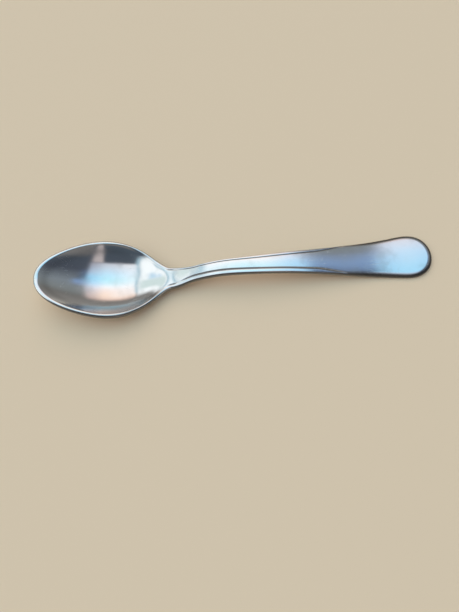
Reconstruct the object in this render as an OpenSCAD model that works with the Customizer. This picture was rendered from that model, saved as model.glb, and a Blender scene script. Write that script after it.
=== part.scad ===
// Teaspoon pressed from one blank of polished stainless steel.
// The bowl's tip points to -X, the end of the handle to +X, and z = 0 is the surface it lies on.
// The blank is cut square across its length into four zones that meet face to face.

/* [Overall] */
// Length from the tip of the bowl to the end of the handle
spoon_length = 138; // [132:1:146]

/* [Bowl] */
// Width of the bowl over its rim
bowl_width = 28.5; // [26:0.1:31]
// Length of the egg-shaped bowl, from its tip to where it would close inside the neck
egg_length = 45.5; // [44:0.5:47]
// Depth of the dish below its rim at the middle of the bowl
dish_depth = 5.7; // [4.8:0.1:5.8]
// Thickness of the bowl's wall
bowl_wall = 1.3; // [1:0.1:1.5]
// Width of the flat rim
rim_width = 1.2; // [0.9:0.1:1.5]
// Height of the rim at the tip
tip_height = 12.3; // [10:0.1:13]
// Height of the rim at the middle of the bowl
rim_height = 7.4; // [7:0.1:7.8]

/* [Neck] */
// Distance from the tip to the neck, where the dish has run out
neck_from_tip = 46; // [44:0.5:48]
// Width of the neck
neck_width = 5.2; // [4.6:0.1:6]
// How much wider each side gets where the neck runs into the bowl
heel_flare = 1.4; // [1:0.1:1.8]
// Distance from the tip to the lowest place of the top line, just before the neck
low_from_tip = 42; // [41:0.5:43]
// Height of the top line there
low_height = 4.5; // [4.3:0.05:4.7]
// Thickness of the neck
neck_thickness = 2.5; // [2.2:0.1:3]

/* [Stem] */
// Distance from the tip to the top of the arch
arch_from_tip = 72; // [70:1:75]
// Height of the arch
arch_height = 7.9; // [7.5:0.1:8.5]
// Width of the sloped shoulder beside the raised panel, at the neck
shoulder_narrow = 1.1; // [0.9:0.1:1.2]
// Width of the shoulder where the panel starts to widen out
shoulder_wide = 1.4; // [1.2:0.1:1.7]
// Depth of the line pressed between the panel and the shoulder
groove_depth = 0.3; // [0.2:0.05:0.4]
// Height of the panel above the shoulder
panel_step = 0.15; // [0.1:0.05:0.25]
// Distance from the tip to where the pressed lines turn outwards
sweep_from_tip = 95; // [92:1:98]
// Distance from the tip to where they have run out at the edges
sweep_end_from_tip = 108; // [106:1:110]

/* [Handle end] */
// Distance from the tip to where the handle has come down to the table
level_from_tip = 128; // [126:1:129]
// Width that the handle flares to
end_width = 16.4; // [14:0.2:17]
// Thickness of the handle where it rests on the table
end_thickness = 2.2; // [2:0.1:2.4]
// Length of the rounded end
end_round = 12; // [10:0.5:13]
// Distance from the end to the middle of the place it rests on
rest_from_end = 7; // [6:0.5:8]

/* [Hidden] */

steel = [0.74, 0.75, 0.77];

// Half widths
bowl_half = bowl_width / 2;
dish_half = bowl_half - rim_width;
neck_half = neck_width / 2;
flare_half = end_width / 2 + 0.3;

// Radius of the dish across the middle of the bowl, and how far its centre is above the rim
dish_radius = (dish_half * dish_half + dish_depth * dish_depth) / (2 * dish_depth);
dish_centre = dish_radius - dish_depth;

// Middle of the bowl
egg_middle = egg_length / 2;

// Zone limits along the length
bowl_start = 0.05;
bowl_end = neck_from_tip - 2;
neck_end = neck_from_tip + 14;
handle_stop = spoon_length - 0.05;

// Height of the upright rim below its top edge
rim_edge = 0.8;
// Share of the handle's thickness that its top edge and its underside are rounded by
top_round = 0.3;
under_round = 0.4;
// Height that the handle's top is domed by from edge to centre
handle_dome = 0.25;

// Depth of the worn flats that the spoon rests on
wear = 0.15;
rest_at = spoon_length - rest_from_end;
rest_top = end_thickness - wear;

// Top line of the spoon: the rim on the bowl, then the middle of the handle,
// which rises steeply from the neck to the arch and comes down evenly to where it rests
function rise(along, up) =
    [mix(low_from_tip, arch_from_tip, along), mix(low_height, arch_height, up)];
function fall(along) =
    [mix(arch_from_tip, level_from_tip, along), mix(arch_height, rest_top, smooth(along))];
top_line = concat(
    [
        [0, tip_height],
        [egg_middle, rim_height],
        [mix(egg_middle, low_from_tip, 0.6), mix(rim_height, low_height, 0.59)],
        rise(0, 0),
        rise(0.32, 0.33),
        rise(0.52, 0.67),
        rise(0.76, 0.92)
    ],
    [for (along = [0:0.2:1]) fall(along)],
    [[spoon_length, rest_top]]
);

// Thickness along the middle of the blank
thickness_line = [
    [0, rim_edge],
    [egg_middle, bowl_wall],
    [neck_from_tip, neck_thickness],
    [arch_from_tip, neck_thickness],
    [rest_at, end_thickness],
    [spoon_length, end_thickness]
];

function limit(t) = min(max(t, 0), 1);
function smooth(t) = limit(t) * limit(t) * (3 - 2 * limit(t));
function mix(a, b, t) = a + (b - a) * t;

// Smooth curve through points: each piece is a cubic whose slopes come from the points beside it
function slope(points, i) =
    let (a = points[max(i - 1, 0)], b = points[min(i + 1, len(points) - 1)])
    (b[1] - a[1]) / (b[0] - a[0]);
function piece(points, s) =
    min(len([for (p = points) if (p[0] <= s) p]), len(points) - 1) - 1;
function curve(points, s) =
    let (
        i = piece(points, s),
        a = points[i],
        b = points[i + 1],
        run = b[0] - a[0],
        t = (s - a[0]) / run,
        rise_a = slope(points, i) * run,
        rise_b = slope(points, i + 1) * run
    )
    mix(a[1], b[1], smooth(t)) + t * (1 - t) * ((1 - t) * rise_a - t * rise_b);

// Half width of the egg-shaped bowl, or of the dish inside its rim.
// e runs from -1 at the tip to 1 at the back: an ellipse whose back half is drawn in
function egg(s, inset) =
    let (
        e = 2 * limit((s - inset) / (egg_length - 2 * inset)) - 1,
        drawn_in = 1 + 0.06 * e - 0.58 * e * e - 0.55 * e * e * e
    )
    (bowl_half - inset) * sqrt(max((1 - e * e) * drawn_in, 0));

// Handle that flares from the neck to the bowl and to the end, and ends in a round
function handle_half(s) =
    let (
        t = max(s - neck_from_tip, 0) / (rest_at - neck_from_tip),
        heel = heel_flare * smooth((neck_from_tip + 7.5 - s) / 10.5),
        r = limit((s - spoon_length + end_round) / end_round)
    )
    (mix(neck_half, flare_half, t * t) + heel) * sqrt(1 - pow(r, 2.5));

// Joins two half widths with a fillet where they meet
function fillet(a, b) = pow(pow(a, 2.5) + pow(b, 2.5), 0.4);

// Fades the handle's strip in behind the middle of the bowl
function strip_share(s) = smooth((s - egg_middle - 5) / 16);

// Half width of the outline
function half(s) = fillet(egg(s, 0), handle_half(s) * strip_share(s));

// Width of the band along the edge: the rim on the bowl and the shoulder on the handle
function band(s) =
    let (
        along = limit((s - neck_from_tip) / (sweep_from_tip - neck_from_tip)),
        out = smooth((s - sweep_from_tip) / (sweep_end_from_tip - sweep_from_tip))
    )
    s < neck_from_tip ? rim_width : mix(mix(shoulder_narrow, shoulder_wide, along), 0.4, out);

// Half width inside the band
function inner(s) = fillet(egg(s, rim_width), (handle_half(s) - band(s)) * strip_share(s));

// Depth of the dish: part of a ball at the middle of the bowl, running out at the egg's inset outline
function dish(s, y) =
    let (inside = max(pow(egg(s, rim_width), 2) - y * y, 0))
    sqrt(dish_centre * dish_centre + inside) - dish_centre;

// How far the cross-section has changed from the bowl's to the handle's
function handle_share(s) = smooth((s - bowl_end + 6) / 14);

// Strength of the pressed lines, which start past the neck and fade as they reach the edges
function groove_share(s) =
    smooth((s - neck_from_tip) / 6) * (1 - smooth((s - sweep_end_from_tip + 6) / 6));

// Round-over of an edge: 0 in the middle, 1 at the outline
function rounding(v) = 1 - sqrt(max(1 - pow(abs(v), 6), 0));

// Share of the dish's depth at a share of its half width
function ball_share(v) =
    let (r = dish_radius / dish_half, c = dish_centre / dish_half)
    (sqrt(max(r * r - v * v, c * c)) - c) / (r - c);

// Height of the top at a place across the blank
function top_z(s, y) =
    let (
        v = y / half(s),
        edge = handle_share(s) * top_round * curve(thickness_line, s),
        dome = handle_share(s) * handle_dome
    )
    curve(top_line, s) - dish(s, y) - edge * rounding(v) - dome * v * v;

// Height of the underside: a belly under the dish and a flat back with round edges under the handle
function under_z(s, y) =
    let (
        v = y / half(s),
        thick = curve(thickness_line, s),
        side = mix(rim_edge, (1 - under_round) * thick, handle_share(s)),
        belly = dish(s, 0) + thick - side,
        swell = mix(ball_share(v), 1 - rounding(v), handle_share(s))
    )
    curve(top_line, s) - side - belly * swell;

// Places across half of the blank: shares of the width inside the band, then shares of the band
line_share = 0.22;
band_shares = [0.001, line_share, 2 * line_share, 0.72, 0.9, 1];
function places(s, inner_steps) =
    let (w = half(s), p = max(inner(s), 0.6 * w))
    concat(
        [for (i = [0:inner_steps - 1]) p * sin(90 * i / inner_steps)],
        [for (b = band_shares) mix(p, w, b)]
    );

// Drop of the pressed line and of the shoulder outside it, by place across the blank
function pressed(s, i, inner_steps) =
    let (b = i - inner_steps)
    groove_share(s) * (b < 1 ? 0 : b == 1 ? groove_depth : panel_step);

// Ring of points round the blank at one place along it, over the top and back underneath
function ring(s, inner_steps) =
    let (
        ys = places(s, inner_steps),
        last = len(ys) - 1,
        order = concat([for (i = [last:-1:1]) [-1, i]], [for (i = [0:last]) [1, i]]),
        x = s - spoon_length / 2,
        top = [
            for (o = order)
            let (y = o[0] * ys[o[1]])
            [x, y, top_z(s, y) - pressed(s, o[1], inner_steps)]
        ],
        under = [for (i = [len(top) - 1:-1:0]) [x, top[i][1], under_z(s, top[i][1])]]
    )
    concat(top, under);

// Solid skinned over rings at the given places along the length
module skin(stations, inner_steps) {
    rings = [for (s = stations) ring(s, inner_steps)];
    m = len(rings[0]);
    last = (len(rings) - 1) * m;
    sides = [
        for (i = [0:len(rings) - 2], j = [0:m - 1])
        let (a = i * m + j, b = i * m + (j + 1) % m)
        each [[a, a + m, b + m], [a, b + m, b]]
    ];
    caps = [
        for (j = [0:m / 2 - 2])
        let (k = m - 1 - j)
        each [
            [j, j + 1, k - 1],
            [j, k - 1, k],
            [last + j, last + k - 1, last + j + 1],
            [last + j, last + k, last + k - 1]
        ]
    ];
    polyhedron(points = [for (r = rings) each r], faces = concat(sides, caps));
}

// Stations between two places, evenly spaced, or crowded towards the start or the end
function even(a, b, n) = [for (i = [0:n]) mix(a, b, i / n)];
function crowded_start(a, b, n) = [for (i = [0:n]) mix(a, b, pow(i / n, 2))];
function crowded_end(a, b, n) = [for (i = [0:n]) mix(b, a, pow(1 - i / n, 2))];

// Everything under the surface that the spoon lies on, which its worn flats are level with
module below_table() {
    depth = 5;
    translate([-spoon_length, -bowl_width, -depth]) cube([2 * spoon_length, 2 * bowl_width, depth]);
}

module bowl() {
    color(steel) difference() {
        skin(
            concat(
                crowded_start(bowl_start, egg_middle, 18),
                even(egg_middle + 1.4, bowl_end, 15)
            ),
            9
        );
        below_table();
    }
}

module neck() {
    color(steel) skin(even(bowl_end, neck_end, 14), 4);
}

module stem() {
    color(steel) skin(even(neck_end, sweep_end_from_tip, 40), 4);
}

module handle_end() {
    color(steel) difference() {
        skin(crowded_end(sweep_end_from_tip, handle_stop, 18), 4);
        below_table();
    }
}

bowl();
neck();
stem();
handle_end();
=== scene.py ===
"""Polished steel teaspoon: the pressed blank, its finish, and a plain studio stage."""

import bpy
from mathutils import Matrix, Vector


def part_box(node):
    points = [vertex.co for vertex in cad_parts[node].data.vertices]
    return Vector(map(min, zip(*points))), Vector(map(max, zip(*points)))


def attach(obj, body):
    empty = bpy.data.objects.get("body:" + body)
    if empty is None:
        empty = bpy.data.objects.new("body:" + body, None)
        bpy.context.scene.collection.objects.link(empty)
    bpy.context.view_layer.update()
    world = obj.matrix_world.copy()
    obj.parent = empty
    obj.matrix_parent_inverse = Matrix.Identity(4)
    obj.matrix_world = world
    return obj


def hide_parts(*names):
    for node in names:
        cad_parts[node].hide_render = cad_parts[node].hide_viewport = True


bl_info = {
    "name": "Polished Teaspoon",
    "version": (1, 0, 0),
    "blender": (4, 5, 0),
    "location": "View3D > Sidebar > Teaspoon",
    "description": "Builds a pressed steel teaspoon in four zones, with its finish and a studio stage",
    "category": "Add Mesh",
}

import math

import bmesh
import bpy
import numpy as np
from bpy.props import FloatProperty, FloatVectorProperty, PointerProperty
from mathutils import Vector

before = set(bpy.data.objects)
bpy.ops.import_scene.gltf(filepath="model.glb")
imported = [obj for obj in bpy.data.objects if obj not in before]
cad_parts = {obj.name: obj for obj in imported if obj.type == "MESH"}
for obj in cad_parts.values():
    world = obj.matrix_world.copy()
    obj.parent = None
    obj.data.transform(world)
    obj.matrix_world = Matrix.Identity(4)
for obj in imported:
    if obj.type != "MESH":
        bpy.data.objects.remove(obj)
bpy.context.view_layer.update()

MM = 0.001

# Places along the spoon where one zone of the blank ends and the next starts, from the frame
SEAMS = [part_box(zone)[0].x for zone in ("neck", "stem", "handle_end")]

# Top line of the blank, as distances from the tip and heights in millimetres
RIM_LINE = ((0, 12.3), (22.75, 7.4), (34.3, 5.7), (41, 4.59))
RISE_LINE = ((46.5, 4.7), (52.6, 5.76), (59.2, 7.03), (66, 7.71))
ARCH = (74, 7.9)
LEVEL = (126, 2.05)
LEVEL_LINE = ((133, 2.05), (138, 2.05))
# Points that the line takes from the top of the arch to the level end
FALL_POINTS = 6

# Thickness of the blank by distance from the tip, in millimetres
THICKNESS = ((0, 1.5), (22.75, 1.2), (46, 2.3), (75, 2.2), (131, 2.1), (138, 2.05))

# Stretches of the blank over which its form changes, as distances from the tip in millimetres
TIP_RIM = (0, 14)
NEAR_SHADE = (12, 28)
TIP_BEND = (14, 34)
HEEL_RIM = (24, 38)
RING_END = (24, 34)
STRIP_START = (27.75, 43.75)
HEEL_SIDE = (28, 42)
DISH_EDGE = (30, 42)
HANDLE_START = (38, 52)
NEAR_SHADE_END = (38, 43)
SHOULDER_START = (40, 48)
DISH_END = (40, 52)
HEEL_FLARE = (43, 53.5)
LINE_START = (45, 54)
PANEL_SHIFT = (60, 80)
LINE_SWEEP = (95, 108)
END_START = (98, 118)
LINE_END = (102, 108)

# How the bowl's ellipse is drawn in to an egg, from its tip at -1 to its neck at 1, highest power first
EGG_DRAW = (-0.55, -0.58, 0.06, 1)
# Place of the neck, the length that the handle flares over from there, and how fast the flare grows
NECK_FROM_TIP = 46 * MM
FLARE_LENGTH = 85 * MM
FLARE_POWER = 2
# Extra half width where the neck runs into the bowl
HEEL_WIDTH = 1.4 * MM
# Length of the rounded end, and the power of the rounded outlines, which is 2 for a plain ellipse
END_LENGTH = 12 * MM
ROUND_POWER = 2.5

# Shoulder beside the raised panel: distances from the tip and widths there, in millimetres
SHOULDER = ((46, 95), (1.1, 1.4))
# Distance from the edge at which the pressed lines run out
LINE_MARGIN = 0.4 * MM
# Half width of a pressed line, and how far the step to the panel spreads, in such half widths
LINE_HALF = 0.18 * MM
STEP_SPREAD = 1.5
# Nick that each pressed line starts with: its place and reach in millimetres, and its strength
NICK = (45, 1.8)
NICK_STRENGTH = 0.6

# Rounds along the edges of the rim, the stem and the handle end in millimetres, on top and below
EDGE_REACH = (1.0, 0.45, 1.8)
EDGE_DROP = (0.85, 0.4, 0.85)
UNDER_REACH = (0.3, 0.6, 0.5)
UNDER_LIFT = (0.2, 0.4, 0.25)

# How much wider the rim is at the tip and narrower at the heel, as shares of its width
TIP_RIM_WIDER = 0.3
HEEL_RIM_NARROWER = 0.6
# Fall of the rim towards the dish: its slope, how far inside the outline it starts, and its width
RIM_SLOPE = 0.12
RIM_SLOPE_FROM = 0.7 * MM
RIM_SLOPE_WIDTH = 0.9 * MM
# Height of the upright side under the rim
RIM_SIDE = 1.5 * MM
# Softness of the dish's edge along the bowl and at its heel, in square millimetres
DISH_SOFTNESS = (3, 30)
# Softness with which the underside flattens where it rests
REST_SOFTNESS = 0.08 * MM

# How far over the rounded edges of the rim, the stem and the handle end the painted shade starts,
# as shares of their reach, and the share over which it blends in
EDGE_SHADE_FROM = (0.75, 0.45, 0.2)
EDGE_SHADE_BLEND = 0.5
# Strength of the painted shade in the pressed lines, of a darker ring round the top of the dish and of
# the painted shade under the lower edge
LINE_SHADE = 0.6
RING_DARKENING = 0.3
UNDER_SHADE = 0.45
# How far inside the outline the ring lies and how far it reaches, in millimetres
RING = (3.2, 1.2)
# Width of the painted shade along the lower edge
UNDER_SHADE_WIDTH = 0.8 * MM

# Sideways bend of the blank in millimetres: at its tip, and as amounts, places and reaches behind it
TIP_ASIDE = 0.5
BENDS = ((-0.6, 47, 6), (0.3, 63, 8))
# How far the panel lies off centre in millimetres, on the rise of the stem and behind it
PANEL_ASIDE = (0.6, 0.35)

# Painted shade on the bowl's near side: its strength, and where it starts and stops in shares of the
# half width
WALL_SHADE = 0.6
OUTSIDE_SHADE = 0.8
SHADED_WALL = (0.6, 0.75)
SHADED_WALL_END = (0.88, 0.93)
SHADED_OUTSIDE = (0.93, 0.97)
# Upward part of a normal, below which the surface is underneath and gets no painted shade there
UNDERNEATH = -0.2

# Mesh lines: their spacing along the outline, which is measured in fine steps
SPACING = 0.32 * MM
FINE_STEPS = 20000
# Between these distances from the tip the mesh lines run straight across, and beyond them they fan out
FAN_TIP = 44 * MM
FAN_END = 124 * MM
# How much of each fan's length its lines leave free on the centre line
TIP_FREE = 0.4545
END_FREE = 0.5
# Places of mesh points inside and outside a pressed line, as shares of the room beside it
INSIDE_LINE = (1, 0.8, 0.62, 0.48, 0.36, 0.25, 0.15, 0.06)
OUTSIDE_LINE = (-0.03, -0.12, -0.21, -0.31, -0.43, -0.58, -0.75)
LINE_ROOM = 0.6 * MM
LINE_ROOM_SHARE = 0.95
# Counts of mesh points over the upper edge, inside the rim, round the lower edge and over the back
EDGE_POINTS = 13
INNER_POINTS = 23
LOWER_POINTS = 10
BACK_POINTS = 19
# Width of the close points along the lower edge, and the most that both edges take of a mesh line
LOWER_WIDTH = 1.0 * MM
UPPER_SHARE = 0.55
LOWER_SHARE = 0.5
# Distance from the outline that counts as the middle of the back
MIDDLE = 9 * MM
# Distances below which points are one point
WELD = 1e-6
FINE_WELD = 1e-7

# Fine scratches: their direction in degrees, length and width
SCRATCHES = ((6, 7 * MM, 0.2 * MM), (-34, 4 * MM, 0.16 * MM), (62, 3 * MM, 0.16 * MM))
# Sizes of the worn patches, the smudges and the waves along the three axes
PATCH_SIZE = (16 * MM, 16 * MM, 16 * MM)
SMUDGE_SIZE = (6 * MM, 6 * MM, 6 * MM)
WAVE_SIZE = (9 * MM, 5 * MM, 9 * MM)
# Levels of their noise from which each shows, and at which it shows in full
SCRATCH_LEVELS = (0.64, 0.76)
PATCH_LEVELS = (0.36, 0.64)
SMUDGE_LEVELS = (0.46, 0.7)
# A well worn spot on the handle, and how far it reaches
WORN_SPOT = (38 * MM, 1 * MM, 5 * MM)
WORN_REACH = 11 * MM
# Share of its colour that a smudge shows, and what smudges, scratches and the rougher places under the
# painted shade add to the roughness
SMUDGE_SHARE = 0.6
SMUDGE_ROUGHNESS = 0.06
SCRATCH_ROUGHNESS = 0.2
DULL_ROUGHNESS = 0.16

# Half the floor's size in metres, and its roughness
FLOOR_HALF = 9
FLOOR_ROUGHNESS = 0.8

# How far the spoon is turned from the camera's level line
TURN = math.radians(6.08)
# Place of the camera before that turn, and its tilt from looking straight down
EYE = (-3.77 * MM, -70.3 * MM, 162.46 * MM)
EYE_TILT = math.radians(19.7)
# Focal length and picture height in pixels, the size of the sensor along that height,
# and the nearest distance that the camera sees
FOCAL_PIXELS = 495
PICTURE_PIXELS = 612
SENSOR_MM = 36
NEAREST_SEEN = 5 * MM

# Colours of the studio, by degrees away from the camera or, for the backdrop, above the floor
ROOM_SHADES = (
    (-60, (0.06, 0.08, 0.10)),
    (-5, (0.06, 0.07, 0.09)),
    (28, (0.19, 0.22, 0.24)),
    (50, (0.19, 0.21, 0.21)),
    (62, (0.15, 0.15, 0.14)),
    (90, (0.20, 0.18, 0.15)),
)
BLUE_SHADES = (
    (18, (0.15, 0.27, 0.52)),
    (27, (0.21, 0.33, 0.55)),
    (36, (0.20, 0.24, 0.31)),
)
OVERHEAD_SHADES = (
    (-22, (0.56, 0.58, 0.64)),
    (-10, (0.58, 0.71, 0.82)),
    (2, (0.54, 0.82, 0.98)),
    (14, (0.52, 0.89, 1.00)),
    (22, (0.66, 0.92, 1.00)),
    (30, (0.94, 0.97, 0.98)),
    (39, (0.98, 0.84, 0.77)),
    (52, (0.98, 0.77, 0.63)),
    (62, (0.82, 0.61, 0.51)),
    (71, (0.48, 0.39, 0.33)),
    (80, (0.24, 0.24, 0.23)),
)
RIGHT_SHADES = (
    (-20, (0.18, 0.16, 0.19)),
    (0, (0.36, 0.40, 0.54)),
    (12, (0.24, 0.55, 0.88)),
    (27, (0.22, 0.55, 0.88)),
    (37, (0.48, 0.60, 0.78)),
    (51, (0.30, 0.32, 0.40)),
    (62, (0.32, 0.27, 0.28)),
)
BACKDROP_SHADES = (
    (2, (0.36, 0.345, 0.31)),
    (12, (0.22, 0.21, 0.195)),
    (26, (0.16, 0.155, 0.145)),
)
# Plain colours of single areas of the studio
CARD_COLOUR = (0.46, 0.41, 0.40)
WARM_COLOUR = (0.17, 0.165, 0.16)
VIOLET_COLOUR = (0.07, 0.09, 0.15)
WHITE = (1.0, 1.0, 1.0)
LEFT_COLOUR = (0.95, 1.0, 1.0)
GREY_COLOUR = (0.62, 0.74, 0.72)
COOL_COLOUR = (0.36, 0.60, 0.78)
GAP_COLOUR = (0.36, 0.56, 0.66)

# Soft areas of the studio, across and away in degrees: low end, high end and softness,
# or where an area starts and where it is full
CARD = ((13, 26, 3), (-21, -25))
WARM_CORNER = ((28, 34), (-32, -48))
VIOLET_PATCH = ((24, 32, 2.5), (-4, 22, 4))
BLUE_PATCH = ((24, 35, 2), (21, 36, 4))
WHITER_LEFT = ((6, -22), (62, 48))
TINTED_RIGHT = ((6, 27),)
LEFT_PANEL = ((-78, -27, 1), (-43, 82, 5))
GREY_PART = ((-27, -31), (20, 44, 5))
COOL_PART = ((-33, -37), (2, 20, 5))
GAP = ((-27, -24, 1.5), (-40, 52, 6))
# The overhead panel has its left end, its right end and its limits away from the camera
OVERHEAD = ((-26, -24), (29.5, 25), (-22.5, 76, 3))
# Degrees above the floor where the backdrop starts and where it is full
BACKDROP = ((31, 20),)
# Strengths of the softer areas
BLUE_STRENGTH = 0.8
WHITER_STRENGTH = 0.5
TINT_STRENGTH = 0.58
COOL_STRENGTH = 0.8
GAP_STRENGTH = 0.9
# Where the edges between the two panels start to lean outwards, far and near, and how fast
LEAN_FAR = (17, 0.009)
LEAN_NEAR = (-10, 0.008)
# Least upward part of a direction, so that those from below the floor count as nearly level
LEAST_UP = 0.01


class TeaspoonShape(bpy.types.PropertyGroup):
    """Sizes of the pressed blank."""

    spoon_length: FloatProperty(
        name="Length",
        description="From the tip of the bowl to the end of the handle",
        default=138 * MM,
        unit="LENGTH",
    )
    bowl_width: FloatProperty(
        name="Bowl width",
        description="Width of the bowl over its rim",
        default=28.5 * MM,
        unit="LENGTH",
    )
    egg_length: FloatProperty(
        name="Egg length",
        description="Length of the egg-shaped bowl, to where it would close inside the neck",
        default=45.5 * MM,
        unit="LENGTH",
    )
    dish_depth: FloatProperty(
        name="Dish depth",
        description="Depth of the dish below its rim at the middle of the bowl",
        default=5.7 * MM,
        unit="LENGTH",
    )
    rim_width: FloatProperty(
        name="Rim width",
        description="Width of the flat rim around the dish",
        default=1.2 * MM,
        unit="LENGTH",
    )
    neck_width: FloatProperty(
        name="Neck width",
        description="Width of the narrowest part behind the bowl",
        default=5.2 * MM,
        unit="LENGTH",
    )
    end_width: FloatProperty(
        name="End width",
        description="Width that the handle flares to",
        default=17.0 * MM,
        unit="LENGTH",
    )
    groove_depth: FloatProperty(
        name="Line depth",
        description="Depth of the lines pressed beside the raised panel",
        default=0.28 * MM,
        unit="LENGTH",
    )
    panel_step: FloatProperty(
        name="Panel step",
        description="Height of the raised panel above the shoulders",
        default=0.15 * MM,
        unit="LENGTH",
    )
    crown: FloatProperty(
        name="Crown",
        description="Rise of the handle's middle above its edges, as a share of its half width",
        default=0.05,
        min=0,
        max=0.1,
        subtype="FACTOR",
    )


class TeaspoonFinish(bpy.types.PropertyGroup):
    """Colours, painted shade and wear of the polished steel."""

    steel: FloatVectorProperty(
        name="Steel",
        description="Colour of the clean polished steel",
        default=(0.62, 0.62, 0.63),
        subtype="COLOR",
        size=3,
        min=0,
        max=1,
    )
    smudge: FloatVectorProperty(
        name="Smudge",
        description="Colour of the steel under a smudge",
        default=(0.54, 0.54, 0.54),
        subtype="COLOR",
        size=3,
        min=0,
        max=1,
    )
    # Colour of the painted shade along the edges, in the pressed lines, in a ring in the dish and on
    # the bowl's near side
    painted_shade_colour: FloatVectorProperty(
        name="Painted shade",
        description="Colour of the steel along the edges and in the pressed lines",
        default=(0.11, 0.105, 0.10),
        subtype="COLOR",
        size=3,
        min=0,
        max=1,
    )
    roughness: FloatProperty(
        name="Roughness",
        description="Roughness of the polish between the scratches",
        default=0.11,
        min=0,
        max=1,
        subtype="FACTOR",
    )
    wave_height: FloatProperty(
        name="Wave height",
        description="Height of the low waves left by pressing",
        default=0.05 * MM,
        precision=5,
        unit="LENGTH",
    )
    scratch_depth: FloatProperty(
        name="Scratch depth",
        description="Depth of the fine scratches",
        default=0.002 * MM,
        precision=6,
        unit="LENGTH",
    )


class TeaspoonStage(bpy.types.PropertyGroup):
    """Floor and light around the spoon."""

    floor: FloatVectorProperty(
        name="Floor",
        description="Colour of the plain floor",
        default=(0.90, 0.70, 0.50),
        subtype="COLOR",
        size=3,
        min=0,
        max=1,
    )
    light: FloatProperty(
        name="Light",
        description="Strength of the studio light",
        default=1.6,
        min=0,
    )


def smooth(t):
    """Eases from 0 to 1 between t = 0 and t = 1."""
    t = np.clip(t, 0, 1)
    return t * t * (3 - 2 * t)


def ramp(t, start, stop):
    """Eases from 0 to 1 between two values of t."""
    return smooth((t - start) / (stop - start))


def along(s, stretch):
    """Eases from 0 to 1 over a stretch of the blank."""
    return ramp(s / MM, *stretch)


def hump(t, middle, reach):
    """1 at the middle, falling to 0 on both sides of it."""
    return np.exp(-(((t - middle) / reach) ** 2))


def mix(a, b, t):
    """Blends from a to b."""
    return a + (b - a) * t


def arc(count):
    """Steps from 0 to 1 that get closer together towards 1."""
    return np.sin(np.linspace(0, 1, count) * math.pi / 2)


def quarter_round(edge, reach):
    """Share of a rounded edge's drop, from 1 at the outline to 0 at its reach."""
    over = np.clip(1 - edge / reach, 0, 1)
    return 1 - np.sqrt(np.maximum(1 - over**2, 0))


def spline(points):
    """Natural cubic spline through points in millimetres, as a function of an array in metres."""
    xs, ys = np.transpose(points) * MM
    n, h = len(xs), np.diff(xs)
    bends, rhs = np.eye(n), np.zeros(n)
    for i in range(1, n - 1):
        bends[i, i - 1 : i + 2] = h[i - 1], 2 * (h[i - 1] + h[i]), h[i]
        rhs[i] = 6 * ((ys[i + 1] - ys[i]) / h[i] - (ys[i] - ys[i - 1]) / h[i - 1])
    m = np.linalg.solve(bends, rhs)

    def value(x):
        i = np.clip(np.searchsorted(xs, x) - 1, 0, n - 2)
        a, b = (xs[i + 1] - x) / h[i], (x - xs[i]) / h[i]
        curve = (a**3 - a) * m[i] + (b**3 - b) * m[i + 1]
        return a * ys[i] + b * ys[i + 1] + curve * h[i] ** 2 / 6

    return value


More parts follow.
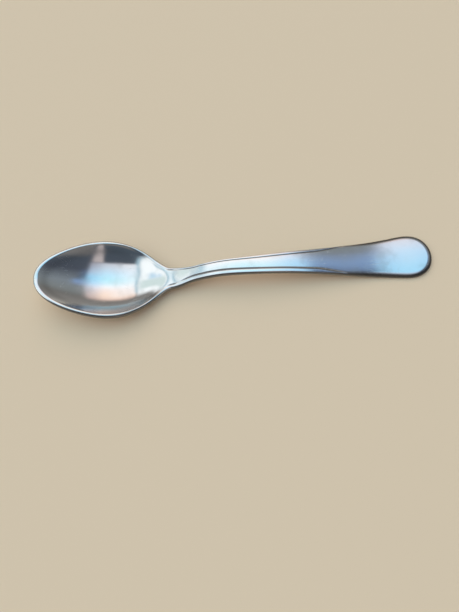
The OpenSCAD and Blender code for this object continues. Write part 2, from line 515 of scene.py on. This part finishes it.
class Blank:
    """The pressed blank: its outline, heights and pressed lines by distance from the tip."""

    def __init__(self, shape):
        self.length = shape.spoon_length
        self.bowl_half = shape.bowl_width / 2
        self.egg_length = shape.egg_length
        self.rim = shape.rim_width
        self.depth = shape.dish_depth
        self.neck_half = shape.neck_width / 2
        self.flare_half = shape.end_width / 2
        self.groove_depth = shape.groove_depth
        self.panel_step = shape.panel_step
        self.crown = shape.crown
        self.dish_half = self.bowl_half - self.rim
        self.dish_centre = (self.dish_half**2 - self.depth**2) / (2 * self.depth)
        steps = np.linspace(0, 1, FALL_POINTS)
        fall = zip(mix(ARCH[0], LEVEL[0], steps), mix(ARCH[1], LEVEL[1], smooth(steps)))
        self.line = spline([*RIM_LINE, *RISE_LINE, *fall, *LEVEL_LINE])
        self.thickness = spline(THICKNESS)

    def egg(self, s, inset):
        """Half width of the egg-shaped bowl, or of the dish inside its rim."""
        e = 2 * np.clip((s - inset) / (self.egg_length - 2 * inset), 0, 1) - 1
        drawn_in = np.polyval(EGG_DRAW, e)
        return (self.bowl_half - inset) * np.sqrt(np.maximum((1 - e**2) * drawn_in, 0))

    def flare(self, s):
        """Half width of the handle without its rounded end."""
        t = np.maximum(s - NECK_FROM_TIP, 0) / FLARE_LENGTH
        heel = HEEL_WIDTH * (1 - along(s, HEEL_FLARE))
        return mix(self.neck_half, self.flare_half, t**FLARE_POWER) + heel

    def handle_half(self, s):
        """Half width of the handle, which flares from the neck and ends in a round."""
        r = np.clip((s - self.length + END_LENGTH) / END_LENGTH, 0, 1)
        return self.flare(s) * np.sqrt(np.maximum(1 - r**ROUND_POWER, 0))

    def half(self, s):
        """Half width of the outline."""
        strip = self.handle_half(s) * along(s, STRIP_START)
        return (self.egg(s, 0) ** ROUND_POWER + strip**ROUND_POWER) ** (1 / ROUND_POWER)

    def band(self, s):
        """Width of the rim on the bowl, and of the shoulder beside the panel on the handle."""
        shoulder = np.interp(s / MM, *SHOULDER) * MM
        band = mix(self.rim, shoulder, along(s, SHOULDER_START))
        return mix(band, LINE_MARGIN, along(s, LINE_SWEEP))

    def handle_share(self, s):
        """How far the cross-section has changed from the bowl's to the handle's."""
        return along(s, HANDLE_START)

    def end_share(self, s):
        """How far the handle's edges have changed to those of its plain end."""
        return along(s, END_START)

    def zoned(self, s, values):
        """Blends the values of the rim, the stem and the handle end."""
        rim, stem, end = values
        return mix(rim, mix(stem, end, self.end_share(s)), self.handle_share(s))

    def edge_reach(self, s):
        """Reach of the rounded edge along the top."""
        return self.zoned(s, EDGE_REACH) * MM

    def line_share(self, s, edge):
        """How near a place is to the middle of a pressed line, from 0 to 1."""
        return hump(edge, self.band(s), LINE_HALF)

    def groove_share(self, s):
        """Strength of the pressed lines, which fade as they reach the edges."""
        nick = NICK_STRENGTH * hump(s / MM, *NICK)
        return nick + along(s, LINE_START) * (1 - along(s, LINE_END))

    def ball_share(self, v):
        """Share of the dish's depth at a share of its half width."""
        c = self.dish_centre / self.dish_half
        r = (self.dish_centre + self.depth) / self.dish_half
        return (np.sqrt(np.maximum(r**2 - v**2, c**2)) - c) / (r - c)

    def dish(self, s, y):
        """Depth of the dish, with a round at its edge that softens into the neck."""
        rim = 1 + TIP_RIM_WIDER * (1 - along(s, TIP_RIM)) - HEEL_RIM_NARROWER * along(s, HEEL_RIM)
        inside = self.egg(s, self.rim * rim) ** 2 - y**2
        soft = mix(*DISH_SOFTNESS, along(s, DISH_EDGE)) * MM**2
        inside = (inside + np.sqrt(inside**2 + soft**2)) / 2
        depth = np.sqrt(self.dish_centre**2 + inside) - self.dish_centre
        return depth * (1 - along(s, DISH_END))

    def top(self, s, y, edge):
        """Height of the top, by the place and the distance from the outline."""
        handle = self.handle_share(s)
        z = self.line(s) - self.dish(s, y) - handle * self.crown * y**2 / self.flare(s)
        z = z - (1 - handle) * RIM_SLOPE * np.clip(edge - RIM_SLOPE_FROM, 0, RIM_SLOPE_WIDTH)
        z = z - self.zoned(s, EDGE_DROP) * MM * quarter_round(edge, self.edge_reach(s))
        share = self.groove_share(s)
        z = z - share * self.groove_depth * self.line_share(s, edge)
        off = (edge - self.band(s)) / LINE_HALF
        return z - share * self.panel_step * (1 - ramp(off, -STEP_SPREAD, STEP_SPREAD))

    def top_painted_shade(self, s, edge):
        """Painted shade on the top: along the rounded edge and in the pressed lines, and a darker ring
        round the top of the dish.
        """
        over = 1 - edge / self.edge_reach(s)
        start = self.zoned(s, EDGE_SHADE_FROM)
        # Painted shade over the outer part of the rounded edges
        rounded = ramp(over, start, start + EDGE_SHADE_BLEND)
        lines = LINE_SHADE * np.minimum(self.groove_share(s), 1) * self.line_share(s, edge)
        ring = RING_DARKENING * (1 - along(s, RING_END)) * hump(edge / MM, *RING)
        return np.maximum(np.maximum(rounded, lines), ring)

    def under(self, s, y, edge):
        """Height of the underside: a belly under the dish and a flat back under the handle."""
        v = np.clip(y / np.maximum(self.half(s), WELD), 0, 1)
        thick = self.thickness(s)
        side = mix(RIM_SIDE, thick, along(s, HEEL_SIDE))
        belly = self.dish(s, 0 * s) + thick - side
        z = self.line(s) - side - belly * self.ball_share(v) * (1 - self.handle_share(s))
        reach = self.zoned(s, UNDER_REACH) * MM
        z = z + self.zoned(s, UNDER_LIFT) * MM * quarter_round(edge, reach)
        return (z + np.sqrt(z**2 + REST_SOFTNESS**2)) / 2

    def aside(self, s, y):
        """Sideways place: the blank is bent a little, and its panel was pressed off centre."""
        shift = TIP_ASIDE * (1 - along(s, TIP_BEND))
        for amount, middle, reach in BENDS:
            shift = shift + amount * hump(s / MM, middle, reach)
        panel = mix(*PANEL_ASIDE, along(s, PANEL_SHIFT))
        panel = panel * self.handle_share(s) * (1 - self.end_share(s))
        inside = np.maximum(1 - (y / np.maximum(self.half(s), MM)) ** 2, 0)
        return y + (shift + panel * inside) * MM

    def wear_and_near_shade(self, s, y):
        """Painted shade on the bowl's near side, on its wall and outside along its rim."""
        v = -y / np.maximum(self.half(s), MM)
        wall = WALL_SHADE * ramp(v, *SHADED_WALL) * (1 - ramp(v, *SHADED_WALL_END)) * along(s, NEAR_SHADE)
        outside = OUTSIDE_SHADE * ramp(v, *SHADED_OUTSIDE)
        return np.maximum(wall, outside) * (1 - along(s, NEAR_SHADE_END))

    def outline(self, spacing):
        """Evenly spaced points round half of the outline, with the outward direction at each."""
        u = np.linspace(0, 1, FINE_STEPS + 1)
        s = self.length * (1 - np.cos(math.pi * u)) / 2
        w = self.half(s)
        w[0] = w[-1] = 0
        run = np.concatenate([[0], np.cumsum(np.hypot(np.diff(s), np.diff(w)))])
        at = np.linspace(0, run[-1], int(run[-1] / spacing) + 1)
        s, w = np.interp(at, run, s), np.interp(at, run, w)
        onward = np.stack([np.gradient(s, at), np.gradient(w, at)])
        onward[:, 0], onward[:, -1] = (0, 1), (0, -1)
        onward /= np.hypot(*onward)
        return s, w, -onward[1], onward[0]

    def axis_point(self, s):
        """Place on the centre line that the surface's lines fan out from."""
        end_length = self.length - FAN_END
        tip = np.clip(1 - s / FAN_TIP, 0, 1)
        end = np.clip((s - FAN_END) / end_length, 0, 1)
        axis = np.where(s < FAN_TIP, FAN_TIP * (1 - tip * (1 - TIP_FREE * tip)), s)
        return np.where(s > FAN_END, FAN_END + end_length * end * (1 - END_FREE * end), axis)

    def lines(self):
        """Surface lines over half of the blank: points and painted shade by line and place on it."""
        s, w, out_s, out_y = (c[:, None] for c in self.outline(SPACING))
        axis = self.axis_point(s)
        span_in = np.hypot(s - axis, w)

        # Along the outline the points lie square to it, close together at the pressed line and the edge
        band = self.band(s)
        room = np.minimum(band * LINE_ROOM_SHARE, LINE_ROOM)
        edge_points = self.edge_reach(s) * (1 - arc(EDGE_POINTS))
        line_points = band + room * np.array(INSIDE_LINE + OUTSIDE_LINE)
        edges = np.concatenate([line_points, edge_points], 1)
        edges = -np.sort(-np.minimum(edges, UPPER_SHARE * span_in), axis=1)
        band_s, band_y = s - out_s * edges, w - out_y * edges

        # Inside that the lines run in to the centre line
        inner = arc(INNER_POINTS)[:-1]
        inner_s = axis + (band_s[:, :1] - axis) * inner
        inner_y = band_y[:, :1] * inner
        inner_edges = edges[:, :1] + np.hypot(inner_s - band_s[:, :1], inner_y - band_y[:, :1])
        top_s = np.concatenate([inner_s, band_s], 1)
        top_y = np.concatenate([inner_y, band_y], 1)
        top_edges = np.concatenate([inner_edges, edges], 1)

        # Underneath they come back round the lower edge to the centre line
        lower = 1 - arc(LOWER_POINTS)[::-1]
        lower_edges = np.minimum(LOWER_WIDTH, LOWER_SHARE * span_in) * lower
        lower_s, lower_y = s - out_s * lower_edges, w - out_y * lower_edges
        back = arc(BACK_POINTS)[::-1][1:]
        under_s = np.concatenate([lower_s, axis + (lower_s[:, -1:] - axis) * back], 1)
        under_y = np.concatenate([lower_y, lower_y[:, -1:] * back], 1)
        under_edges = np.concatenate([lower_edges, np.full((len(s), len(back)), MIDDLE)], 1)

        top_z = self.top(top_s, top_y, top_edges)
        under_z = self.under(under_s, under_y, under_edges)
        points = np.stack(
            [
                np.concatenate([top_s, under_s], 1) - self.length / 2,
                np.concatenate([top_y, under_y], 1),
                np.concatenate([top_z, under_z], 1),
            ],
            2,
        )
        # Painted shade along the lower edge underneath
        under_shade = UNDER_SHADE * smooth(1 - under_edges / UNDER_SHADE_WIDTH)
        return points, np.concatenate([self.top_painted_shade(top_s, top_edges), under_shade], 1)


def face_outwards(bm):
    """Turns every face of a closed mesh outwards."""
    bmesh.ops.recalc_face_normals(bm, faces=bm.faces)
    if bm.calc_volume(signed=True) < 0:
        bmesh.ops.reverse_faces(bm, faces=bm.faces)


def press_blank(shape):
    """Mesh of the whole blank, with its smooth normals and its painted shade kept in attributes."""
    blank = Blank(shape)
    points, painted_shade = blank.lines()
    rows, columns = points.shape[:2]
    bm = bmesh.new()
    bmesh.ops.create_grid(bm, x_segments=columns - 1, y_segments=rows - 1, size=1)
    bm.verts.ensure_lookup_table()
    painted_shade_layer = bm.verts.layers.float.new("painted_shade")
    for vert, point, share in zip(bm.verts, points.reshape(-1, 3), painted_shade.reshape(-1)):
        vert.co = point
        vert[painted_shade_layer] = share
    bmesh.ops.mirror(bm, geom=bm.verts[:] + bm.edges[:] + bm.faces[:], axis="Y", merge_dist=WELD)
    bmesh.ops.remove_doubles(bm, verts=bm.verts, dist=WELD)
    bmesh.ops.dissolve_degenerate(bm, edges=bm.edges, dist=FINE_WELD)

    # The straight blank is bent sideways before its normals are kept
    straight = np.array([vert.co for vert in bm.verts])
    s, y = straight[:, 0] + blank.length / 2, straight[:, 1]
    for vert, aside in zip(bm.verts, blank.aside(s, y)):
        vert.co.y = aside
    face_outwards(bm)
    bm.normal_update()
    normal_layer = bm.verts.layers.float_vector.new("blank_normal")
    # The bowl's near side gets painted shade where it faces up
    for vert, wear_and_near_shade in zip(bm.verts, blank.wear_and_near_shade(s, y)):
        vert[normal_layer] = vert.normal
        if vert.normal.z > UNDERNEATH:
            vert[painted_shade_layer] = max(vert[painted_shade_layer], wear_and_near_shade)
    mesh = bpy.data.meshes.new("blank")
    bm.to_mesh(mesh)
    bm.free()
    return mesh


def cut_zone(name, start, stop):
    """Cuts one zone out of the blank, closes its cut faces and makes it a steel piece."""
    mesh = bpy.data.meshes.get("blank") or press_blank(bpy.context.scene.teaspoon_shape)
    bm = bmesh.new()
    bm.from_mesh(mesh)
    for x, side in ((start, -1), (stop, 1)):
        if x is not None:
            bmesh.ops.bisect_plane(
                bm,
                geom=bm.verts[:] + bm.edges[:] + bm.faces[:],
                dist=FINE_WELD,
                plane_co=(x, 0, 0),
                plane_no=(side, 0, 0),
                clear_outer=True,
            )
    open_edges = [edge for edge in bm.edges if edge.is_boundary]
    caps = set(bmesh.ops.holes_fill(bm, edges=open_edges, sides=0)["faces"])
    face_outwards(bm)
    normal_layer = bm.verts.layers.float_vector["blank_normal"]
    normals = []
    for face in bm.faces:
        face.smooth = True
        for loop in face.loops:
            normal = face.normal if face in caps else Vector(loop.vert[normal_layer])
            normals.append(normal.normalized())
    bm.verts.layers.float_vector.remove(normal_layer)
    piece_mesh = bpy.data.meshes.new(name)
    bm.to_mesh(piece_mesh)
    bm.free()
    piece_mesh.normals_split_custom_set(normals)
    piece = bpy.data.objects.new(name, piece_mesh)
    bpy.context.scene.collection.objects.link(piece)
    piece.data.materials.append(steel_material())
    return piece


def place(piece, node):
    """Fixes a piece to the frame in place of its node."""
    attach(piece, "root")
    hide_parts(node)


def calc(tree, operation, a, b=0.0, c=0.0):
    """Adds a Math node on sockets or numbers and gives its result."""
    added = tree.nodes.new("ShaderNodeMath")
    added.operation = operation
    for socket, value in zip(added.inputs, (a, b, c)):
        if isinstance(value, (int, float)):
            socket.default_value = value
        else:
            tree.links.new(value, socket)
    return added.outputs[0]


def ease(tree, value, low, high):
    """Goes smoothly from 0 at the low value to 1 at the high one."""
    added = tree.nodes.new("ShaderNodeMapRange")
    added.interpolation_type = "SMOOTHSTEP"
    added.inputs["From Min"].default_value = low
    added.inputs["From Max"].default_value = high
    tree.links.new(value, added.inputs["Value"])
    return added.outputs["Result"]


def span(tree, value, low, high, soft):
    """1 between two values and 0 outside them, with soft ends."""
    start = ease(tree, value, low - soft, low + soft)
    stop = ease(tree, value, high + soft, high - soft)
    return calc(tree, "MULTIPLY", start, stop)


def cover(tree, under, over, share):
    """Lays one colour over another by a share."""
    added = tree.nodes.new("ShaderNodeMix")
    added.data_type = "RGBA"
    tree.links.new(share, added.inputs[0])
    for socket, colour in zip(added.inputs[6:8], (under, over)):
        if isinstance(colour, tuple):
            socket.default_value = (*colour, 1)
        else:
            tree.links.new(colour, socket)
    return added.outputs[2]


def patch(tree, under, over, directions, area, strength=1.0):
    """Lays one colour over another in a soft area of directions."""
    share = strength
    for direction, limits in zip(directions, area):
        inside = span if len(limits) == 3 else ease
        share = calc(tree, "MULTIPLY", inside(tree, direction, *limits), share)
    return cover(tree, under, over, share)


def shade(tree, degrees, stops):
    """Colour that changes smoothly through stops given in degrees from -90 to 90."""
    added = tree.nodes.new("ShaderNodeValToRGB")
    colours = added.color_ramp
    for _ in stops[2:]:
        colours.elements.new(0.5)
    for element, (at, colour) in zip(colours.elements, stops):
        element.position = at / 180 + 0.5
        element.color = (*colour, 1)
    share = calc(tree, "ADD", calc(tree, "DIVIDE", degrees, 180), 0.5)
    tree.links.new(share, added.inputs["Fac"])
    return added.outputs["Color"]


def noise(tree, position, size, turn=0.0, detail=2.0):
    """Adds a noise whose spots have a size per axis, turned about the upright axis."""
    mapping = tree.nodes.new("ShaderNodeMapping")
    mapping.vector_type = "TEXTURE"
    mapping.inputs["Rotation"].default_value = (0, 0, math.radians(turn))
    mapping.inputs["Scale"].default_value = size
    tree.links.new(position, mapping.inputs["Vector"])
    added = tree.nodes.new("ShaderNodeTexNoise")
    added.inputs["Scale"].default_value = 1
    added.inputs["Detail"].default_value = detail
    tree.links.new(mapping.outputs["Vector"], added.inputs["Vector"])
    return added.outputs["Fac"]


def near_spot(tree, position, spot, reach):
    """1 at a spot, falling smoothly to 0 at a distance from it."""
    added = tree.nodes.new("ShaderNodeVectorMath")
    added.operation = "DISTANCE"
    tree.links.new(position, added.inputs[0])
    added.inputs[1].default_value = spot
    return ease(tree, added.outputs["Value"], reach, 0)


def steel_material():
    """Polished steel with fine scratches, smudges, and painted shade with rougher polish on its edges,
    pressed lines and near side.
    """
    found = bpy.data.materials.get("buffed_steel")
    if found:
        return found
    finish = bpy.context.scene.teaspoon_finish
    material = bpy.data.materials.new("buffed_steel")
    material.use_nodes = True
    tree = material.node_tree
    shader = tree.nodes["Principled BSDF"]
    shader.inputs["Metallic"].default_value = 1
    position = tree.nodes.new("ShaderNodeTexCoord").outputs["Object"]
    # The painted shade is read from the mesh's attribute
    painted_shade_layer = tree.nodes.new("ShaderNodeAttribute")
    painted_shade_layer.attribute_name = "painted_shade"
    painted_shade = painted_shade_layer.outputs["Fac"]

    # Fine scratches run in three directions and gather in worn patches
    scratches = 0.0
    for turn, length, width in SCRATCHES:
        lines = ease(tree, noise(tree, position, (length, width, length), turn), *SCRATCH_LEVELS)
        scratches = calc(tree, "MAXIMUM", lines, scratches)
    wear_and_near_shade = ease(tree, noise(tree, position, PATCH_SIZE), *PATCH_LEVELS)
    wear_and_near_shade = calc(tree, "MAXIMUM", wear_and_near_shade, near_spot(tree, position, WORN_SPOT, WORN_REACH))
    scratches = calc(tree, "MULTIPLY", scratches, wear_and_near_shade)
    smudges = ease(tree, noise(tree, position, SMUDGE_SIZE, detail=4.0), *SMUDGE_LEVELS)

    smudged = calc(tree, "MULTIPLY", smudges, SMUDGE_SHARE)
    colour = cover(tree, tuple(finish.steel), tuple(finish.smudge), smudged)
    # Painted shade: the steel darkens to the shade colour along edges, in pressed lines, in the dish
    # ring and on the near side
    colour = cover(tree, colour, tuple(finish.painted_shade_colour), painted_shade)
    tree.links.new(colour, shader.inputs["Base Color"])
    rough = calc(tree, "MULTIPLY_ADD", smudges, SMUDGE_ROUGHNESS, finish.roughness)
    rough = calc(tree, "MULTIPLY_ADD", scratches, SCRATCH_ROUGHNESS, rough)
    rough = calc(tree, "MULTIPLY_ADD", painted_shade, DULL_ROUGHNESS, rough)
    tree.links.new(rough, shader.inputs["Roughness"])

    # Pressing leaves low waves in the polish
    waves = noise(tree, position, WAVE_SIZE, detail=0.0)
    height = calc(tree, "MULTIPLY", waves, finish.wave_height)
    height = calc(tree, "MULTIPLY_ADD", scratches, -finish.scratch_depth, height)
    bump = tree.nodes.new("ShaderNodeBump")
    bump.inputs["Distance"].default_value = 1
    tree.links.new(height, bump.inputs["Height"])
    tree.links.new(bump.outputs["Normal"], shader.inputs["Normal"])
    return material


def studio_directions(tree):
    """Degrees from upright across and away, and degrees above the floor.

    Across goes to the right as the camera sees it, and away goes away from the camera.
    """
    direction = tree.nodes.new("ShaderNodeTexCoord")
    turn = tree.nodes.new("ShaderNodeVectorRotate")
    turn.rotation_type = "Z_AXIS"
    turn.inputs["Angle"].default_value = TURN
    tree.links.new(direction.outputs["Generated"], turn.inputs["Vector"])
    split = tree.nodes.new("ShaderNodeSeparateXYZ")
    tree.links.new(turn.outputs["Vector"], split.inputs["Vector"])
    up = calc(tree, "MAXIMUM", split.outputs["Z"], LEAST_UP)
    across = calc(tree, "DEGREES", calc(tree, "ARCTAN2", split.outputs["X"], up))
    away = calc(tree, "DEGREES", calc(tree, "ARCTAN2", split.outputs["Y"], up))
    elevation = calc(tree, "DEGREES", calc(tree, "ARCSINE", split.outputs["Z"]))
    return across, away, elevation


def lean_outwards(tree, across, away):
    """Direction across, shifted so that edges set in it lean outwards at their far and near ends."""
    far_past = calc(tree, "SUBTRACT", away, LEAN_FAR[0])
    near_past = calc(tree, "SUBTRACT", LEAN_NEAR[0], away)
    leaning = across
    for past, rate in ((far_past, LEAN_FAR[1]), (near_past, LEAN_NEAR[1])):
        squared = calc(tree, "POWER", calc(tree, "MAXIMUM", past, 0), 2)
        leaning = calc(tree, "MULTIPLY_ADD", squared, rate, leaning)
    return leaning


def dim_room(tree, across, away):
    """Dim surroundings of the panels, with a pale card and a few soft colours on the right."""
    room = shade(tree, away, ROOM_SHADES)
    room = patch(tree, room, CARD_COLOUR, (across, away), CARD)
    room = patch(tree, room, WARM_COLOUR, (across, away), WARM_CORNER)
    room = patch(tree, room, VIOLET_COLOUR, (across, away), VIOLET_PATCH)
    blue = shade(tree, away, BLUE_SHADES)
    return patch(tree, room, blue, (across, away), BLUE_PATCH, BLUE_STRENGTH)


def overhead_sheet(tree, across, away):
    """Colours of the overhead panel, which goes from blue to white to peach away from the camera."""
    sheet = shade(tree, away, OVERHEAD_SHADES)
    sheet = patch(tree, sheet, WHITE, (across, away), WHITER_LEFT, WHITER_STRENGTH)
    tint = shade(tree, away, RIGHT_SHADES)
    return patch(tree, sheet, tint, (across,), TINTED_RIGHT, TINT_STRENGTH)


def left_sheet(tree, leaning, away):
    """Colours of the left panel, which is greyer or cooler where it is farther out."""
    sheet = patch(tree, LEFT_COLOUR, GREY_COLOUR, (leaning, away), GREY_PART)
    return patch(tree, sheet, COOL_COLOUR, (leaning, away), COOL_PART, COOL_STRENGTH)


def studio_world(strength):
    """Dim room with a soft panel overhead, one to the left past a narrow gap, and a plain backdrop."""
    world = bpy.data.worlds.new("studio")
    world.use_nodes = True
    tree = world.node_tree
    across, away, elevation = studio_directions(tree)
    leaning = lean_outwards(tree, across, away)
    room = dim_room(tree, across, away)
    room = patch(tree, room, overhead_sheet(tree, across, away), (leaning, across, away), OVERHEAD)
    room = patch(tree, room, left_sheet(tree, leaning, away), (leaning, away), LEFT_PANEL)
    room = patch(tree, room, GAP_COLOUR, (leaning, away), GAP, GAP_STRENGTH)
    room = patch(tree, room, shade(tree, elevation, BACKDROP_SHADES), (elevation,), BACKDROP)
    light = tree.nodes["Background"]
    light.inputs["Strength"].default_value = strength
    tree.links.new(room, light.inputs["Color"])
    return world


def add_floor(scene):
    """Adds the plain pale floor."""
    bm = bmesh.new()
    bmesh.ops.create_grid(bm, x_segments=1, y_segments=1, size=FLOOR_HALF)
    mesh = bpy.data.meshes.new("floor")
    bm.to_mesh(mesh)
    bm.free()
    material = bpy.data.materials.new("pale_floor")
    material.use_nodes = True
    shader = material.node_tree.nodes["Principled BSDF"]
    shader.inputs["Base Color"].default_value = (*scene.teaspoon_stage.floor, 1)
    shader.inputs["Roughness"].default_value = FLOOR_ROUGHNESS
    mesh.materials.append(material)
    floor = bpy.data.objects.new("floor", mesh)
    scene.collection.objects.link(floor)


def add_camera(scene):
    """Adds the camera, which stands in front of the spoon and looks down at it."""
    camera = bpy.data.cameras.new("camera")
    camera.lens = SENSOR_MM * FOCAL_PIXELS / PICTURE_PIXELS
    camera.clip_start = NEAREST_SEEN
    eye = bpy.data.objects.new("camera", camera)
    scene.collection.objects.link(eye)
    yaw = -TURN
    x, y, z = EYE
    eye.location = (
        x * math.cos(yaw) - y * math.sin(yaw),
        x * math.sin(yaw) + y * math.cos(yaw),
        z,
    )
    eye.rotation_euler = (EYE_TILT, 0, yaw)
    scene.camera = eye


class TEASPOON_OT_bowl(bpy.types.Operator):
    """Adds the bowl with its rim."""

    bl_idname = "teaspoon.bowl"
    bl_label = "Bowl"

    def execute(self, context):
        place(cut_zone("spoon_bowl", None, SEAMS[0]), "bowl")
        return {"FINISHED"}


class TEASPOON_OT_neck(bpy.types.Operator):
    """Adds the neck behind the bowl."""

    bl_idname = "teaspoon.neck"
    bl_label = "Neck"

    def execute(self, context):
        place(cut_zone("spoon_neck", SEAMS[0], SEAMS[1]), "neck")
        return {"FINISHED"}


class TEASPOON_OT_stem(bpy.types.Operator):
    """Adds the arched stem with its raised panel."""

    bl_idname = "teaspoon.stem"
    bl_label = "Stem"

    def execute(self, context):
        place(cut_zone("spoon_stem", SEAMS[1], SEAMS[2]), "stem")
        return {"FINISHED"}


class TEASPOON_OT_handle_end(bpy.types.Operator):
    """Adds the plain rounded end of the handle."""

    bl_idname = "teaspoon.handle_end"
    bl_label = "Handle end"

    def execute(self, context):
        place(cut_zone("spoon_handle_end", SEAMS[2], None), "handle_end")
        return {"FINISHED"}


class TEASPOON_OT_stage(bpy.types.Operator):
    """Adds the floor, the light and the camera."""

    bl_idname = "teaspoon.stage"
    bl_label = "Stage"

    def execute(self, context):
        scene = context.scene
        scene.view_settings.view_transform = "Standard"
        add_floor(scene)
        scene.world = studio_world(scene.teaspoon_stage.light)
        add_camera(scene)
        return {"FINISHED"}


class TEASPOON_PT_panel(bpy.types.Panel):
    """Lists the spoon's zones and its stage."""

    bl_idname = "TEASPOON_PT_panel"
    bl_label = "Teaspoon"
    bl_space_type = "VIEW_3D"
    bl_region_type = "UI"
    bl_category = "Teaspoon"

    def draw(self, context):
        for group in GROUPS:
            settings = getattr(context.scene, group)
            box = self.layout.box()
            for name in settings.__annotations__:
                box.prop(settings, name)
        for operator in OPERATORS:
            self.layout.operator(operator.bl_idname)


OPERATORS = (
    TEASPOON_OT_bowl,
    TEASPOON_OT_neck,
    TEASPOON_OT_stem,
    TEASPOON_OT_handle_end,
    TEASPOON_OT_stage,
)
GROUPS = {
    "teaspoon_shape": TeaspoonShape,
    "teaspoon_finish": TeaspoonFinish,
    "teaspoon_stage": TeaspoonStage,
}


def register():
    """Adds the add-on's classes and the scene's settings."""
    for cls in (*GROUPS.values(), *OPERATORS, TEASPOON_PT_panel):
        bpy.utils.register_class(cls)
    for name, group in GROUPS.items():
        setattr(bpy.types.Scene, name, PointerProperty(type=group))


def unregister():
    """Removes what register added."""
    for name in GROUPS:
        delattr(bpy.types.Scene, name)
    for cls in reversed((*GROUPS.values(), *OPERATORS, TEASPOON_PT_panel)):
        bpy.utils.unregister_class(cls)


def main():
    """Builds the spoon and its stage."""
    register()
    bpy.ops.teaspoon.bowl()
    bpy.ops.teaspoon.neck()
    bpy.ops.teaspoon.stem()
    bpy.ops.teaspoon.handle_end()
    bpy.ops.teaspoon.stage()


if __name__ == "__main__":
    main()
